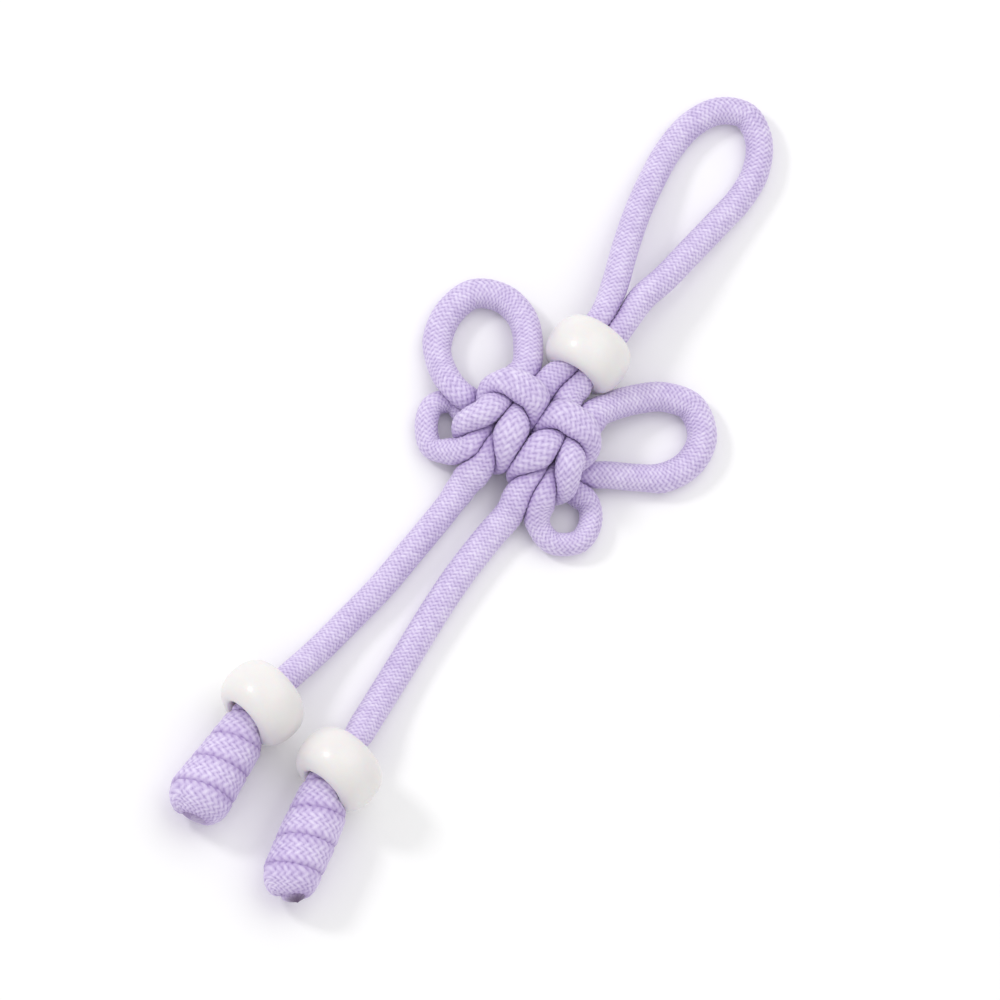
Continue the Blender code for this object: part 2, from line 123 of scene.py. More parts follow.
# how wide the cord spreads if nothing presses it, a later row holding over an earlier one
spreads = (
    {"x": (-30.0, 30.0), "y": (-17.0, 16.0), "half": 2.3, "flatness": 0.1},
    {"x": (0.0, 8.0), "y": (-58.0, -17.0), "half": 2.3, "flatness": 0.15},
    {"x": (-11.0, 11.0), "y": (-14.0, 4.5), "half": 2.75, "flatness": 0.22},
    {"x": (-30.0, -7.2), "y": (-14.0, 1.5), "half": 2.1, "flatness": 0.0},
    {"x": (7.2, 30.0), "y": (-14.0, 2.5), "half": 2.1, "flatness": 0.0},
    {"x": (-30.0, -9.6), "y": (-16.0, -4.6), "half": 1.78, "flatness": 0.0},
    {"x": (8.2, 30.0), "y": (-18.0, -6.4), "half": 1.8, "flatness": 0.0},
    {"x": (-30.0, 30.0), "y": (-100.0, -63.6), "half": 3.2, "flatness": 0.0},
)

lying = cord["lying"]

# from the left strand in the top bead, round the hanging loop, to the right strand
hangingLoop = [
    (-0.8, 8.4, 6.5), (-0.8, 14.0, 6.7), (-0.45, 18.2, 6.5), (-1.65, 24.4, 5.6),
    (-2.9, 29.0, 4.8), (-4.45, 36.0, 3.5), (-5.3, 42.4, 2.5), (-5.6, 47.8, lying),
    (-4.8, 53.4, lying), (-2.4, 57.6, lying), (1.4, 59.2, lying), (5.0, 57.0, lying),
    (7.1, 52.6, lying), (7.4, 47.8, lying), (6.6, 42.4, 2.5), (5.5, 36.0, 3.5),
    (4.3, 29.0, 4.8), (3.15, 24.4, 5.6), (2.75, 18.2, 6.5), (2.6, 14.0, 6.7), (2.5, 8.4, 6.5),
]

# one half of the knot, from the bead's strand round the front bar to the wing
strandToWing = [
    (-1.7, 4.9, 6.0), (-2.4, 1.0, 5.6), (-3.2, -2.6, 6.9), (-2.9, -5.6, 8.2), (-2.6, -7.5, 7.1),
    (-2.6, -8.5, 4.6), (-3.6, -8.6, 2.4), (-5.5, -8.5, 1.9), (-7.0, -8.3, 2.4),
    (-7.9, -8.0, 4.6), (-7.9, -7.0, 7.0), (-7.4, -5.3, 8.1), (-7.0, -2.9, 7.5),
    (-6.5, 1.0, 5.6),
]

leftWing = [
    (-6.0, 4.7, 5.2), (-7.4, 8.5, 4.0), (-10.4, 12.2, 2.7), (-14.4, 13.5, lying),
    (-18.5, 11.6, lying), (-20.1, 6.7, lying), (-19.1, 1.8, lying), (-16.5, -1.3, 2.4),
    (-12.8, -3.7, 4.2),
]
rightWing = [
    (6.6, 4.4, 5.2), (8.1, 7.8, 4.0), (11.0, 11.6, 2.8), (13.9, 14.1, 2.2), (18.2, 15.2, lying),
    (21.9, 12.2, lying), (22.5, 7.7, lying), (20.5, 3.5, lying), (17.0, 1.0, 2.0),
    (13.2, -1.3, 2.5),
]

# from the wing to the middle of the knot and back out to the small loop
leftMiddle = [
    (-9.8, -3.8, 4.0), (-6.2, -3.4, 2.3), (-0.9, -3.3, 1.9), (0.9, -4.6, 1.9),
    (-0.9, -6.0, 1.9), (-6.0, -6.1, 1.9), (-9.6, -5.2, 1.7),
]
rightMiddle = [
    (10.0, -3.2, 2.3), (7.4, -3.2, 1.9), (5.3, -3.3, 1.9), (4.1, -4.6, 1.9), (5.3, -6.0, 1.9),
    (7.4, -6.1, 1.9), (10.0, -6.2, 1.9),
]
leftSmallLoop = [
    (-12.4, -4.6, 1.7), (-14.5, -6.8, lying), (-13.8, -10.1, lying), (-11.3, -12.6, lying),
    (-8.4, -12.0, 3.2),
]
rightSmallLoop = [
    (13.1, -6.8, lying), (14.9, -9.4, lying), (14.8, -12.6, lying), (11.6, -14.95, lying),
    (8.4, -14.1, 2.4), (6.5, -12.0, 3.8),
]

# from the small loop over the front bar and down to the leg
smallLoopToLeg = [
    (-6.1, -10.3, 4.9), (-6.4, -8.2, 5.2), (-6.9, -5.9, 4.9), (-7.2, -3.6, 4.8),
    (-7.3, -1.6, 6.4), (-6.2, -0.3, 8.4), (-4.5, 0.1, 9.0), (-2.6, 0.1, 8.8), (-1.3, -1.0, 7.0),
    (-1.5, -2.8, 4.9), (-2.7, -5.2, 4.5), (-3.5, -7.3, 4.8), (-3.9, -9.3, 5.1),
]
leftLeg = [
    (-4.2, -12.4, 3.9), (-4.3, -15.6, 2.4), (-4.5, -19.5, lying), (-5.4, -27.6, lying),
    (-6.4, -35.9, lying), (-8.0, -44.2, lying), (-9.3, -50.8, 2.7), (-10.6, -56.2, 4.2),
    (-11.6, -61.0, 5.2), (-12.1, -66.5, 5.1),
]
rightLeg = [
    (4.0, -12.4, 3.9), (3.8, -15.6, 2.4), (3.2, -19.5, lying), (2.5, -27.6, lying),
    (2.4, -35.9, lying), (2.6, -44.2, lying), (2.7, -52.0, 2.6), (2.8, -58.2, 4.2),
    (3.0, -63.2, 5.2), (3.4, -68.8, 5.1),
]

# start in the bead's mouth, the knot's own radius at widthPlaces, and the cut tip's
# distance from the axis with its angle
leftBarrel = {
    "x": -11.75, "y": -66.2, "lean": 1.5, "length": 18.1,
    "widths": (3.7, 4.3, 4.9), "tip": (0.9, -20.0),
}
rightBarrel = {
    "x": 3.5, "y": -68.4, "lean": -8.5, "length": 18.7,
    "widths": (4.1, 4.45, 4.35), "tip": (2.6, 10.0),
}
barrel = {
    "turns": 3.85,
    "strandGap": -0.4,      # its wraps sink into each other, so the creases stay shallow
    "below": -66.5,         # both barrel knots lie below this y
    "round": 4.2,           # length of the rounded far end
    "widthPlaces": (0.0, 0.55, 1.0),    # shares of the length before it
    "inset": 1.9,           # from the knot's surface to the middle of its wraps
    "height": 4.75,
    "top": -2.0,            # from the start to the last wrap, which lies in the bead's mouth
    "end": 2.3,             # from the far end to the first wrap
    "firstAngle": 100.0,
    "wrapPoints": 10,       # waypoints in a turn
    "core": 0.8,            # each inner strand lies this far from the axis
    "strandShares": (0.12, 0.35, 0.6),  # the leg's strand on its way down the core
    "farTurn": (            # from the far end, from the axis, and angle
        (3.2, 0.8, 180.0), (2.0, 1.3, 172.0), (1.9, 2.2, 150.0),
    ),
    "nearTurn": (-0.1, 1.7, -35.0),     # past the last wrap, from the axis, and in angle
    "tailStart": 1.0,       # below the last wrap
    "tailShares": (0.35, 0.6),
    "tipBend": 3.0,         # the tail bends to its tip this far from the far end,
    "tipInset": 0.4,        # and stops this far from it
    "outside": 8.0,         # past this radius a point isn't the barrel's
    "margin": 3.0,
}


def unit(vectors):
    return vectors / np.linalg.norm(vectors, axis=-1, keepdims=True)


def mirrored(rows):
    return [(-x, y, z) for x, y, z in rows]


# even angles round a full turn
def circle(count):
    return np.arange(count) / count * 2.0 * math.pi


def barrelAxis(one):
    lean = math.radians(one["lean"])
    start = np.array([one["x"], one["y"], barrel["height"]])
    return start, np.array([-math.sin(lean), -math.cos(lean), 0.0])


# the barrel knot's own radius at a distance from its start
def barrelSurface(one, distance):
    places = np.array(barrel["widthPlaces"]) * (one["length"] - barrel["round"])
    radius = np.interp(distance, places, one["widths"])
    share = np.clip((distance - one["length"] + barrel["round"]) / barrel["round"], 0.0, 1.0)
    return radius * np.sqrt(1.0 - share ** 2)


# the leg's strand runs down the core, turns out, wraps back up and goes down the core again
def barrelRoute(one):
    lean = math.radians(one["lean"])
    start, along = barrelAxis(one)
    across = np.array([math.cos(lean), -math.sin(lean), 0.0])
    upward = np.array([0.0, 0.0, 1.0])
    length = one["length"]
    core = barrel["core"]
    top = barrel["top"]

    def place(distance, radius, angle):
        turn = math.radians(angle)
        outward = across * math.cos(turn) + upward * math.sin(turn)
        return tuple(start + along * distance + outward * radius)

    route = [place(share * length, core, 180.0) for share in barrel["strandShares"]]
    route += [place(length - back, radius, angle) for back, radius, angle in barrel["farTurn"]]
    count = round(barrel["turns"] * barrel["wrapPoints"])
    firstAngle = barrel["firstAngle"]
    lastAngle = firstAngle - 360.0 * barrel["turns"]
    for index in range(count + 1):
        share = index / count
        distance = (length - barrel["end"]) + (top - length + barrel["end"]) * share
        radius = float(barrelSurface(one, np.array(distance))) - barrel["inset"]
        route.append(place(distance, radius, firstAngle + (lastAngle - firstAngle) * share))
    past, radius, angle = barrel["nearTurn"]
    route += [place(top + past, radius, lastAngle + angle)]
    route += [place(top + barrel["tailStart"], core, 0.0)]
    route += [place(share * length, core, 0.0) for share in barrel["tailShares"]]
    tipRadius, tipAngle = one["tip"]
    route += [place(length - barrel["tipBend"], core, 0.5 * tipAngle)]
    route += [place(length - barrel["tipInset"], tipRadius, tipAngle)]
    return route


def lengthsAlong(points):
    return np.concatenate([[0.0], np.cumsum(np.linalg.norm(np.diff(points, axis=0), axis=1))])


def evenSteps(points, step):
    known = lengthsAlong(points)
    wanted = np.linspace(0.0, known[-1], round(known[-1] / step) + 1)
    return np.stack([np.interp(wanted, known, points[:, axis]) for axis in range(3)], axis=1)


# a smooth curve through the points, by cubic pieces whose slopes fit three points
def smoothCurve(points, pieces):
    lengths = np.linalg.norm(np.diff(points, axis=0), axis=1)
    knots = np.concatenate([[0.0], np.cumsum(lengths ** 0.5)])
    widths = np.diff(knots)[:, None]
    slopes = np.diff(points, axis=0) / widths
    inner = (slopes[:-1] * widths[1:] + slopes[1:] * widths[:-1]) / (widths[:-1] + widths[1:])
    tangents = np.concatenate([slopes[:1], inner, slopes[-1:]])
    share = np.linspace(0.0, 1.0, pieces, endpoint=False)[None, :, None]
    one = (1.0 + 2.0 * share) * (1.0 - share) ** 2 * points[:-1, None]
    two = share * (1.0 - share) ** 2 * widths[:, None] * tangents[:-1, None]
    three = share ** 2 * (3.0 - 2.0 * share) * points[1:, None]
    four = share ** 2 * (share - 1.0) * widths[:, None] * tangents[1:, None]
    return np.concatenate([(one + two + three + four).reshape(-1, 3), points[-1:]])


# strands that cross too closely push each other apart until the knot fits
def settle(points):
    points = points.copy()
    along = lengthsAlong(points)
    apart = np.abs(along[:, None] - along[None, :]) > cord["nearAlong"]
    inside = (points[:, 1] < cord["knotTop"]) & (points[:, 1] > cord["knotBottom"])
    pairs = apart & inside[:, None] & inside[None, :]
    start = points.copy()
    rows = np.arange(len(points))
    tiny = 1e-9
    for _ in range(cord["rounds"]):
        away = points[:, None, :] - points[None, :, :]
        distance = np.linalg.norm(away, axis=2) + tiny
        short = np.where(pairs, np.maximum(cord["pressed"] - distance, 0.0), 0.0)
        deepest = short.argmax(axis=1)
        push = away[rows, deepest] / distance[rows, deepest][:, None]
        moved = points - start + push * short[rows, deepest][:, None] * cord["share"]
        moved[1:-1] = 0.5 * moved[1:-1] + 0.25 * (moved[:-2] + moved[2:])
        points = start + moved
        points[:, 2] = np.maximum(points[:, 2], np.minimum(start[:, 2], lying))
    return points


# two directions across the cord at each point, carried along it without twisting
def crossDirections(points):
    tangents = unit(np.gradient(points, axis=0))
    side = np.cross(tangents[0], (0.0, 0.0, 1.0))
    sides = []
    for tangent in tangents:
        side = side - tangent * (side @ tangent)
        side = side / np.linalg.norm(side)
        sides.append(side)
    sides = np.array(sides)
    return sides, np.cross(tangents, sides)


# directions across the cord, turned by each of the angles
def turned(side, over, angles):
    cosine = np.cos(angles)[None, :, None]
    sine = np.sin(angles)[None, :, None]
    return side[:, None, :] * cosine + over[:, None, :] * sine


def beadFrame(one):
    turn = math.radians(one["lean"])
    axis = np.array([math.sin(turn), math.cos(turn), 0.0])
    return np.array([one["x"], one["y"], one["radius"] - bead["flat"]]), axis


def beadOuter(height, widest):
    share = np.clip(np.abs(height) / bead["halfHeight"], 0.0, 1.0)
    bulge = (1.0 - share ** bead["bulge"]) ** (1.0 / bead["bulge"])
    return bead["lip"] + (widest - bead["lip"]) * bulge


# True where a point of the cord's surface is clear of the table, beads and other strands
def isClear(places, reach, route, along):
    clear = places[..., 2] >= 0.0
    for one in beads:
        centre, axis = beadFrame(one)
        away = places - centre
        height = away @ axis
        radius = np.linalg.norm(away - height[..., None] * axis, axis=-1)
        level = np.abs(height) < bead["halfHeight"] + bead["mouthReach"]
        pastLip = np.maximum(np.abs(height) - bead["halfHeight"] + bead["mouthDepth"], 0.0)
        mouth = bead["bore"] - cord["beadGap"] + bead["mouthFlare"] * pastLip
        outside = radius > beadOuter(height, one["radius"]) + cord["beadGap"]
        clear &= (radius < mouth) | outside | ~level
    for one in (leftBarrel, rightBarrel):
        start, axis = barrelAxis(one)
        away = places - start
        distance = away @ axis
        radius = np.linalg.norm(away - distance[..., None] * axis, axis=-1)
        close = np.linalg.norm(away[..., :2], axis=-1) < one["length"] + barrel["margin"]
        close &= (distance > barrel["top"]) & (radius < barrel["outside"])
        clear &= (radius <= barrelSurface(one, distance)) | ~close
    for index in range(len(places)):
        distance = np.linalg.norm(places[index][:, None, :] - route[None, :, :], axis=2)
        same = np.abs(along - along[index]) < cord["nearAlong"]
        own = distance[:, same].min(axis=1)
        other = distance[:, ~same].min(axis=1)
        gap = barrel["strandGap"] if route[index, 1] < barrel["below"] else cord["strandGap"]
        clear[index] &= (other >= own + gap) & (reach[index] <= own * cord["bendShare"])
    return clear


# how far the cord's surface is from its middle, in each direction at each section
def strandReach(route, directions):
    along = lengthsAlong(route)
    full = np.full(directions.shape[:2], cord["radius"])
    for spread in spreads:
        inside = (route[:, 0] > spread["x"][0]) & (route[:, 0] < spread["x"][1])
        inside &= (route[:, 1] > spread["y"][0]) & (route[:, 1] < spread["y"][1])
        wide = spread["half"] * (1.0 - spread["flatness"] * directions[..., 2] ** 2)
        full = np.where(inside[:, None], wide, full)

    def fits(reach):
        return isClear(route[:, None, :] + directions * reach[..., None], reach, route, along)

    low = np.full(full.shape, cord["least"])
    high = full.copy()
    for _ in range(cord["halvings"]):
        middle = 0.5 * (low + high)
        clear = fits(middle)
        low = np.where(clear, middle, low)
        high = np.where(clear, high, middle)
    return np.where(fits(full), full, low)


# 1 where the cord's surface touches the next strand, falling to 0 away from it; it sets the
# painted shade in the creases
def closeness(route, directions, reach):
    along = lengthsAlong(route)
    result = np.empty(reach.shape)
    for index in range(len(route)):
        places = route[index] + directions[index] * reach[index][:, None]
        distance = np.linalg.norm(places[:, None, :] - route[None, :, :], axis=2)
        same = np.abs(along - along[index]) < cord["nearAlong"]
        room = distance[:, ~same].min(axis=1) - distance[:, same].min(axis=1)
        result[index] = np.exp(-np.maximum(room, 0.0) / cord["shadeReach"])
    return result


# a smooth finer version of values that are even steps apart on their first axis
def finer(values, times, closed):
    if closed:
        padded = np.concatenate([values[-1:], values, values[:2]])
    else:
        padded = np.concatenate([values[:1], values, values[-1:], values[-1:]])
    share = np.arange(times)[None, :, None] / times
    count = len(values)
    before, here, after, beyond = (padded[start:count + start, None] for start in range(4))
    result = here + 0.5 * share * (
        after - before + share * (2 * before - 5 * here + 4 * after - beyond
                                  + share * (3 * (here - after) + beyond - before)))
    result = result.reshape(-1, values.shape[1])
    return result if closed else result[:1 - times]


def softened(values):
    values = 0.5 * values + 0.25 * (np.roll(values, 1, axis=1) + np.roll(values, -1, axis=1))
    values[1:-1] = 0.5 * values[1:-1] + 0.25 * (values[:-2] + values[2:])
    return values


# values on the coarse rings, brought to the finished points of the finished rings
def onFinished(values, shares):
    rows = finer(finer(values, cord["finer"], False).T, cord["denser"], True)
    picked = np.round(shares * len(rows)).astype(int) % len(rows)
    return rows[picked].T


# the braid's stitches slant in turn to either side and lock between their neighbours.
# Their height is 0 in the gaps and 1 on their tops, and each has a chance value of its own.
def stitches(around, along):
    column = around * braid["columns"]
    height = np.zeros(np.broadcast(around, along).shape)
    chance = np.zeros(height.shape)
    byColumn, byRow, stretch = braid["scatter"]
    for step in (-1, 0, 1):
        index = np.floor(column) + step
        local = column - index - 0.5
        odd = index % 2
        row = along / braid["pitch"] - 0.5 * odd - (1.0 - 2.0 * odd) * braid["slant"] * local
        number = np.round(row)
        crown = np.sqrt(np.clip(1.0 - (local / braid["reach"]) ** 2, 0.0, 1.0))
        bump = crown * (1.0 - np.abs(2.0 * (row - number)) ** braid["bulge"])
        mixed = np.sin((index % braid["columns"]) * byColumn + number * byRow) * stretch
        chance = np.where(bump > height, mixed - np.floor(mixed), chance)
        height = np.maximum(height, bump)
    return height, chance


def addObject(name, data):
    piece = bpy.data.objects.new(name, data)
    bpy.context.scene.collection.objects.link(piece)
    return piece


# a skin over rings of points, closed where its end isn't open, with its seam coordinates
# and the looks of each point
def skin(name, rings, along, looks, openEnds):
    count, around = rings.shape[:2]
    points = rings.reshape(-1, 3)
    ring = np.arange(count - 1)[:, None] * around
    here = np.arange(around)[None, :]
    after = (here + 1) % around
    quads = (ring + here, ring + after, ring + around + after, ring + around + here)
    quads = np.stack(quads, axis=2).reshape(-1, 4)
    centres = []
    triangles = []
    for end, first in enumerate((0, (count - 1) * around)):
        if openEnds[end]:
            continue
        centre = len(points) + len(centres)
        centres.append(points[first:first + around].mean(axis=0))
        for index in range(around):
            edge = (first + index, first + (index + 1) % around)
            triangles.append((centre, *(edge if end else edge[::-1])))
    if centres:
        points = np.concatenate([points, centres])
    triangles = np.array(triangles, dtype=int).reshape(-1, 3)
    mesh = bpy.data.meshes.new(name)
    mesh.vertices.add(len(points))
    mesh.vertices.foreach_set("co", ((points * mm) + shift).ravel())
    corners = np.concatenate([quads.ravel(), triangles.ravel()])
    mesh.loops.add(len(corners))
    mesh.loops.foreach_set("vertex_index", corners)
    mesh.polygons.add(len(quads) + len(triangles))
    quadStarts = np.arange(len(quads)) * 4
    capStarts = len(quads) * 4 + np.arange(len(triangles)) * 3
    mesh.polygons.foreach_set("loop_start", np.concatenate([quadStarts, capStarts]))
    mesh.update(calc_edges=True)
    left = np.broadcast_to(here / around, (count - 1, around))
    right = left + 1.0 / around
    below = np.broadcast_to(along[:-1, None], (count - 1, around))
    above = np.broadcast_to(along[1:, None], (count - 1, around))
    pairs = ((left, below), (right, below), (right, above), (left, above))
    seam = np.stack([np.stack(pair, axis=2) for pair in pairs], axis=2).reshape(-1, 2)
    seam = np.concatenate([seam, np.zeros((len(triangles) * 3, 2))])
    layer = mesh.uv_layers.new(name="braid")
    layer.uv.foreach_set("vector", seam.astype(np.float32).ravel())
    for key, values in looks.items():
        attribute = mesh.attributes.new(key, "FLOAT", "POINT")
        values = np.concatenate([values.ravel(), np.zeros(len(centres))])
        attribute.data.foreach_set("value", values.astype(np.float32))
    mesh.shade_smooth()
    return addObject(name, mesh)


# adds a node and gives it fixed inputs and links
def addNode(tree, kind, inputs=None, **settings):
    node = tree.nodes.new(kind)
    for key, value in settings.items():
        setattr(node, key, value)
    for key, value in (inputs or {}).items():
        if isinstance(value, bpy.types.NodeSocket):
            tree.links.new(value, node.inputs[key])
        else:
            node.inputs[key].default_value = value
    return node


def maths(tree, operation, first, second):
    return addNode(tree, "ShaderNodeMath", {0: first, 1: second}, operation=operation).outputs[0]


# a colour ramp with its stops, each a place and a colour
def addRamp(tree, factor, stops):
    ramp = addNode(tree, "ShaderNodeValToRGB", {"Fac": factor})
    elements = ramp.color_ramp.elements
    while len(elements) < len(stops):
        elements.new(0.5)
    for element, (place, colour) in zip(elements, stops):
        element.position = place
        element.color = (*colour, 1.0)
    return ramp.outputs["Color"]


# the second colour laid over the first, as far as the factor says
def addMix(tree, factor, first, second):
    inputs = {"Factor": factor, 6: first, 7: (*second, 1.0)}
    return addNode(tree, "ShaderNodeMix", inputs, data_type="RGBA").outputs[2]


def newMaterial(name, surface):
    material = bpy.data.materials.new(name)
    material.use_nodes = True
    shader = material.node_tree.nodes["Principled BSDF"]
    for key, value in surface.items():
        shader.inputs[key].default_value = value
    return material, material.node_tree, shader


yarn = {
    "threads": (46.0, 5.0, 1.0),    # round the cord, and for each millimetre along it
    "threadDetail": 2.0,
    "threadRoughness": 0.6,
    "fuzz": 0.5,
    "fuzzDepth": 0.00012,
    "wornScale": 260.0,
    "wornDetail": 3.0,
    "stitchShadeShare": 0.6,             # what makes the yarn paler, and by how much: the stitches' height is painted shade in the gaps between them, the rest is the yarn's own tone
    "chanceShare": 0.16,
    "threadShare": 0.26,
    "wornShare": 0.3,
    # the yarn's lilac from deep to pale; its deep end is also the painted shade in the gaps
    # between stitches
    "stops": (
        (0.0, (0.30, 0.20, 0.46)),
        (0.3, (0.44, 0.34, 0.62)),
        (0.6, (0.64, 0.54, 0.80)),
        (0.82, (0.77, 0.69, 0.90)),
        (1.0, (0.88, 0.83, 0.96)),
    ),
    # painted shade: a deep purple laid into the creases where the strands press together
    "creaseShadeShare": 0.62,
    "creaseShade": (0.27, 0.15, 0.44),
    "melted": (0.085, 0.045, 0.11),
    "surface": {
        "Roughness": 0.62,
        "Specular IOR Level": 0.35,
        "Sheen Weight": 0.25,
        "Sheen Roughness": 0.5,
        "Sheen Tint": (0.92, 0.88, 1.0, 1.0),
    },
}


def lilacYarn():
    material, tree, shader = newMaterial("lilac_braid", yarn["surface"])
    seam = addNode(tree, "ShaderNodeUVMap", uv_map="braid").outputs[0]
    threads = addNode(tree, "ShaderNodeTexNoise", {
        "Vector": addNode(tree, "ShaderNodeMapping", {
            "Vector": seam, "Scale": yarn["threads"],
        }).outputs[0],
        "Scale": 1.0, "Detail": yarn["threadDetail"], "Roughness": yarn["threadRoughness"],
    }).outputs["Fac"]
    height, chance, creaseShade, melted = (
        addNode(tree, "ShaderNodeAttribute", attribute_name=key).outputs["Fac"]
        for key in ("height", "chance", "creaseShade", "melted"))
    worn = addNode(tree, "ShaderNodeTexNoise", {
        "Vector": addNode(tree, "ShaderNodeNewGeometry").outputs["Position"],
        "Scale": yarn["wornScale"], "Detail": yarn["wornDetail"],
    }).outputs["Fac"]
    # painted shade: the gaps between stitches darker and their tops paler, by their height
    tone = maths(tree, "MULTIPLY", height, yarn["stitchShadeShare"])
    for part, share in (
        (chance, yarn["chanceShare"]),
        (threads, yarn["threadShare"]),
        (maths(tree, "SUBTRACT", worn, 0.5), yarn["wornShare"]),
    ):
        tone = maths(tree, "ADD", tone, maths(tree, "MULTIPLY", part, share))
    dyedAndShaded = addRamp(tree, tone, yarn["stops"])
    # painted shade darkens the yarn where it presses on the next strand
    creaseShadeFactor = maths(tree, "MULTIPLY", creaseShade, yarn["creaseShadeShare"])
    colour = addMix(tree, creaseShadeFactor, dyedAndShaded, yarn["creaseShade"])
    colour = addMix(tree, melted, colour, yarn["melted"])
    bump = addNode(tree, "ShaderNodeBump", {
        "Height": threads, "Strength": yarn["fuzz"], "Distance": yarn["fuzzDepth"],
    })
    tree.links.new(colour, shader.inputs["Base Color"])
    tree.links.new(bump.outputs["Normal"], shader.inputs["Normal"])
    return material


glaze = {
    "cloudScale": 140.0,
    "cloudDetail": 3.0,
    "stops": (
        (0.3, (0.79, 0.765, 0.755)),
        (0.7, (0.83, 0.81, 0.80)),
    ),
    "roughness": (0.34, 0.44),
    "unevenScale": 420.0,
    "unevenDetail": 2.0,
    "uneven": 0.12,
    "unevenDepth": 0.0002,
    "surface": {
        "Coat Weight": 0.3,
        "Coat Roughness": 0.16,
        "Subsurface Weight": 0.2,
        "Subsurface Scale": 0.0012,
    },
}


def whiteGlaze():
    material, tree, shader = newMaterial("white_bead_gloss", glaze["surface"])
    place = addNode(tree, "ShaderNodeNewGeometry").outputs["Position"]
    cloudy = addNode(tree, "ShaderNodeTexNoise", {
        "Vector": place, "Scale": glaze["cloudScale"], "Detail": glaze["cloudDetail"],
    }).outputs["Fac"]
    uneven = addNode(tree, "ShaderNodeTexNoise", {
        "Vector": place, "Scale": glaze["unevenScale"], "Detail": glaze["unevenDetail"],
    }).outputs["Fac"]
    bump = addNode(tree, "ShaderNodeBump", {
        "Height": uneven, "Strength": glaze["uneven"], "Distance": glaze["unevenDepth"],
    })
    smoothest, roughest = glaze["roughness"]
    gloss = addNode(tree, "ShaderNodeMapRange", {
        "Value": cloudy, "To Min": smoothest, "To Max": roughest,
    })
    tree.links.new(addRamp(tree, cloudy, glaze["stops"]), shader.inputs["Base Color"])
    tree.links.new(bump.outputs["Normal"], shader.inputs["Normal"])
    tree.links.new(gloss.outputs["Result"], shader.inputs["Roughness"])
    return material


def dress(piece, material, node):
    piece.data.materials.append(material)
    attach(piece, "root")
    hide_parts(node)


# the cord's middle line, from the left cut tip to the right one
leftEnd = leftLeg + barrelRoute(leftBarrel)
rightEnd = rightLeg + barrelRoute(rightBarrel)
leftHalf = strandToWing + leftWing + leftMiddle + leftSmallLoop + smallLoopToLeg + leftEnd
rightHalf = mirrored(strandToWing) + rightWing + rightMiddle + rightSmallLoop
rightHalf += mirrored(smallLoopToLeg) + rightEnd
waypoints = np.array(leftHalf[::-1] + hangingLoop + rightHalf)
route = settle(evenSteps(smoothCurve(waypoints, cord["curvePieces"]), cord["routeStep"]))
fineRoute = smoothCurve(route, cord["finer"])
side, over = crossDirections(fineRoute)
print("cord laid out:", round(lengthsAlong(route)[-1]), "mm in", len(fineRoute), "rings")

# how far its surface reaches, and where it is creased, which sets the painted shade there
step = cord["finer"]
directions = turned(side[::step], over[::step], circle(cord["sides"]))
reach = softened(strandReach(route, directions))
creaseShade = softened(closeness(route, directions, reach))
print("cord pressed into its knots")

# its finished rings, with the stitches' relief and the rounded, melted cut ends
shares = np.arange(cord["around"]) / cord["around"]
fineAlong = lengthsAlong(fineRoute)
height, chance = stitches(shares[None, :], fineAlong[:, None])
fineCreaseShade = onFinished(creaseShade, shares)
fineReach = onFinished(reach, shares) - braid["depth"] * (1.0 - height)
fromRight = fineAlong[-1] - fineAlong
fromTip = np.minimum(fineAlong, fromRight)
rounding = np.clip(1.0 - fromTip / cord["tipLength"], 0.0, cord["tipLimit"])
fineReach = fineReach * np.sqrt(1.0 - rounding ** 2)[:, None]
fineDirections = turned(side, over, circle(cord["around"]))
rings = fineRoute[:, None, :] + fineDirections * fineReach[..., None]
rings[..., 2] = np.maximum(rings[..., 2], 0.0)
melted = np.where(fineAlong < fromRight, *cord["melted"])
melted = melted * np.clip(cord["meltedFade"] - fromTip / cord["meltedLength"], 0.0, 1.0)
melted = np.repeat(melted[:, None], cord["around"], axis=1)


def nearest(place):
    return int(np.linalg.norm(fineRoute - np.array(place), axis=1).argmin())


# the cord is cut into pieces where the cuts are out of sight, under the beads and the knot
cuts = [
    0,
    nearest((-11.75, -62.2, 5.2)),
    nearest((-3.1, -6.3, 4.7)),
    nearest((-0.8, 12.0, 6.6)),
    nearest((2.6, 12.0, 6.6)),
    nearest((3.1, -6.3, 4.7)),
    nearest((3.0, -64.2, 5.2)),
    len(fineRoute) - 1,
]
cordPieces = (
    "left_barrel_knot", "left_leg", "left_knot", "hanging_loop",
    "right_knot", "right_leg", "right_barrel_knot",
)
lilac = lilacYarn()
for index, name in enumerate(cordPieces):
    span = slice(cuts[index], cuts[index + 1] + 1)
    openEnds = (index > 0, index < len(cordPieces) - 1)
    looks = {
        "height": height[span], "chance": chance[span],
        "creaseShade": fineCreaseShade[span], "melted": melted[span],
    }
    piece = skin(name, rings[span], fineAlong[span], looks, openEnds)
    dress(piece, lilac, "cord")
    print("cord piece", name, "has", len(piece.data.polygons), "faces")


# the bead's section, as radius and level, from one end over the outside and back in the hole
def beadProfile(widest):
    steps = bead["outerSteps"]
    lip = bead["lip"]
    outer = []
    for index in range(steps + 1):
        turn = math.pi * (index / steps - 0.5)
        rise = abs(math.sin(turn)) ** (2.0 / bead["bulge"]) * math.copysign(1.0, math.sin(turn))
        bulge = abs(math.cos(turn)) ** (2.0 / bead["bulge"])
        outer.append((lip + (widest - lip) * bulge, rise * bead["halfHeight"]))
    lipWidth = lip - bead["bore"]
    depth = bead["lipDepth"]
    rounded = []
    for index in range(1, bead["lipSteps"] + 1):
        turn = math.radians(90.0 + 90.0 * index / bead["lipSteps"])
        level = bead["halfHeight"] - depth + depth * math.sin(turn)
        rounded.append((lip + lipWidth * math.cos(turn), level))
    inner = [(bead["bore"], level) for level in bead["boreLevels"]]
    below = [(radius, -level) for radius, level in rounded[::-1]]
    return np.array(outer + rounded + inner + below)


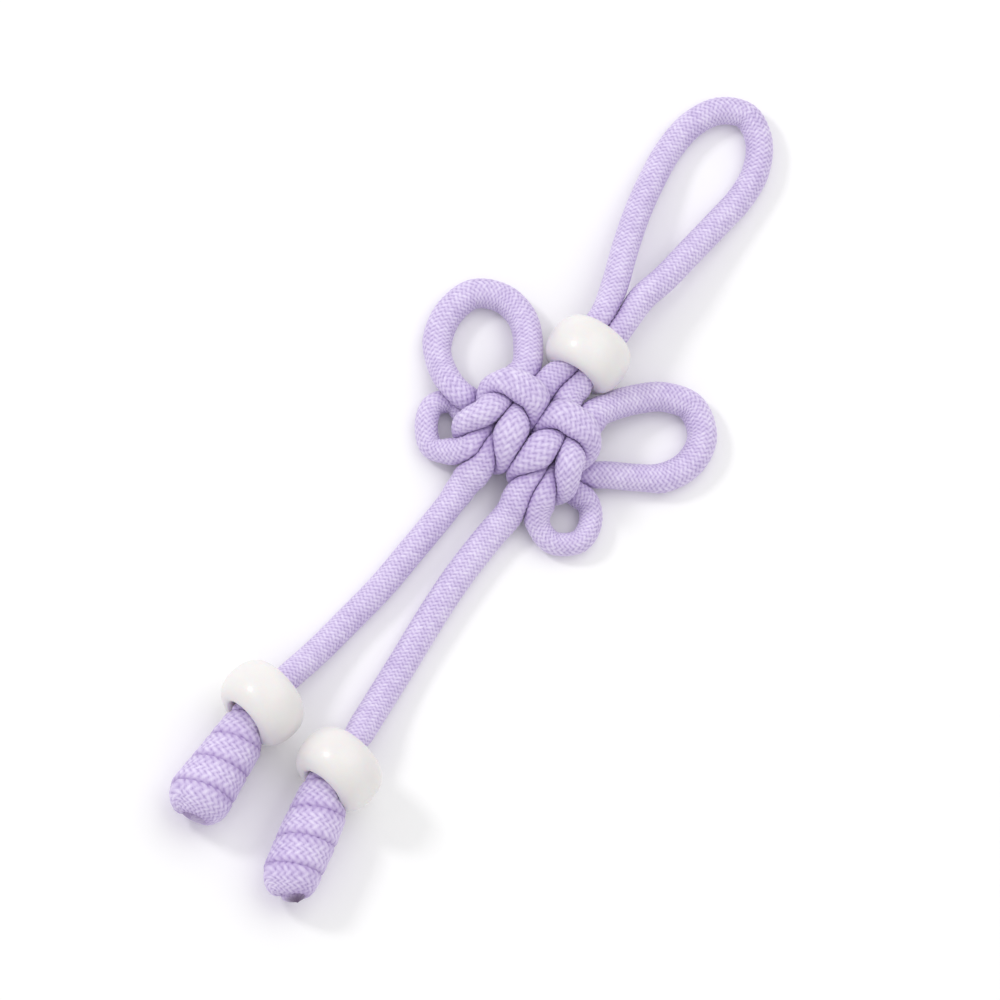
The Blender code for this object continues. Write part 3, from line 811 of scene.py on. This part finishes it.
def makeBead(one, material):
    profile = beadProfile(one["radius"])
    around = bead["around"]
    angles = circle(around)
    centre, axis = beadFrame(one)
    sideways = np.array([axis[1], -axis[0], 0.0])
    upward = np.array([0.0, 0.0, 1.0])
    seed = one["seed"]
    uneven = 1.0 + bead["twoWaves"] * np.sin(2.0 * angles + seed)
    uneven = uneven + bead["threeWaves"] * np.sin(3.0 * angles + 2.0 * seed)
    radius = profile[:, :1]
    radius = radius * np.where(radius > bead["lip"], uneven[None, :], 1.0)
    out = sideways * np.cos(angles)[:, None] + upward * np.sin(angles)[:, None]
    points = centre + profile[:, 1][:, None, None] * axis + radius[..., None] * out[None, :, :]
    points[..., 2] = np.maximum(points[..., 2], 0.0)
    faces = []
    count = len(profile)
    for ring in range(count):
        nextRing = (ring + 1) % count
        for index in range(around):
            following = (index + 1) % around
            faces.append((ring * around + index, ring * around + following,
                          nextRing * around + following, nextRing * around + index))
    mesh = bpy.data.meshes.new(one["name"])
    mesh.from_pydata(((points * mm) + shift).reshape(-1, 3).tolist(), [], faces)
    mesh.shade_smooth()
    dress(addObject(one["name"], mesh), material, one["node"])


white = whiteGlaze()
for one in beads:
    makeBead(one, white)
print("beads turned")

floor = {
    "half": 2.5,
    "below": 0.00002,       # so that it doesn't touch what lies on it
    "surface": {"Base Color": (0.96, 0.96, 0.96, 1.0), "Roughness": 0.9},
}
half = floor["half"]
corners = [(-half, -half, 0.0), (half, -half, 0.0), (half, half, 0.0), (-half, half, 0.0)]
plane = bpy.data.meshes.new("floor")
plane.from_pydata(corners, [], [(0, 1, 2, 3)])
plane.materials.append(newMaterial("floor_white", floor["surface"])[0])
floorPiece = addObject("floor", plane)
floorPiece.location.z = -floor["below"]

scene = bpy.context.scene
sky = {"Color": (1.0, 1.0, 1.0, 1.0), "Strength": 0.78}
scene.world = bpy.data.worlds.new("sky")
scene.world.use_nodes = True
for key, value in sky.items():
    scene.world.node_tree.nodes["Background"].inputs[key].default_value = value
scene.view_settings.view_transform = "Standard"

camera = {
    "tilt": 20.0,           # the view leans this far off square, from the charm's foot
    "roll": 32.8,           # and the picture is turned by this much
    "pixel": 0.00015,       # metres for each of the picture's 1000 pixels
    "pixels": 1000.0,
    "knotPixel": (538.8, 427.2),    # where the picture shows the plan's point (knotX, 0)
    "knotX": 0.53,
    "lens": 1500.0,
}
tilt = math.radians(camera["tilt"])
roll = math.radians(camera["roll"])
level = Vector((1.0, 0.0, 0.0))
toCamera = Vector((0.0, -math.sin(tilt), math.cos(tilt)))
upright = Vector((0.0, math.cos(tilt), math.sin(tilt)))
acrossPicture = level * math.cos(roll) + upright * math.sin(roll)
upPicture = upright * math.cos(roll) - level * math.sin(roll)
middle = 0.5 * camera["pixels"]
aim = Vector(shift) + Vector((camera["knotX"] * mm, 0.0, 0.0))
aim += acrossPicture * (middle - camera["knotPixel"][0]) * camera["pixel"]
aim -= upPicture * (middle - camera["knotPixel"][1]) * camera["pixel"]
lensData = bpy.data.cameras.new("camera")
lensData.lens = camera["lens"]
distance = camera["pixels"] * camera["pixel"] * lensData.lens / lensData.sensor_width
placed = Matrix((acrossPicture, upPicture, toCamera)).transposed().to_4x4()
placed.translation = aim + toCamera * distance
cameraPiece = addObject("camera", lensData)
cameraPiece.matrix_world = placed
scene.camera = cameraPiece

keyLight = {"name": "key_light", "place": (-0.85, -0.1, 0.75), "size": 0.2, "power": 3.0}
fillLight = {"name": "fill_light", "place": (0.1, 0.45, 1.0), "size": 1.0, "power": 2.6}


# a soft square light that faces the charm
def softLight(one):
    light = bpy.data.lights.new(one["name"], "AREA")
    light.shape = "SQUARE"
    light.size = one["size"]
    light.energy = one["power"]
    piece = addObject(one["name"], light)
    piece.location = one["place"]
    piece.rotation_mode = "QUATERNION"
    piece.rotation_quaternion = (-Vector(one["place"])).to_track_quat("-Z", "Y")


softLight(keyLight)
softLight(fillLight)
print("stage set")
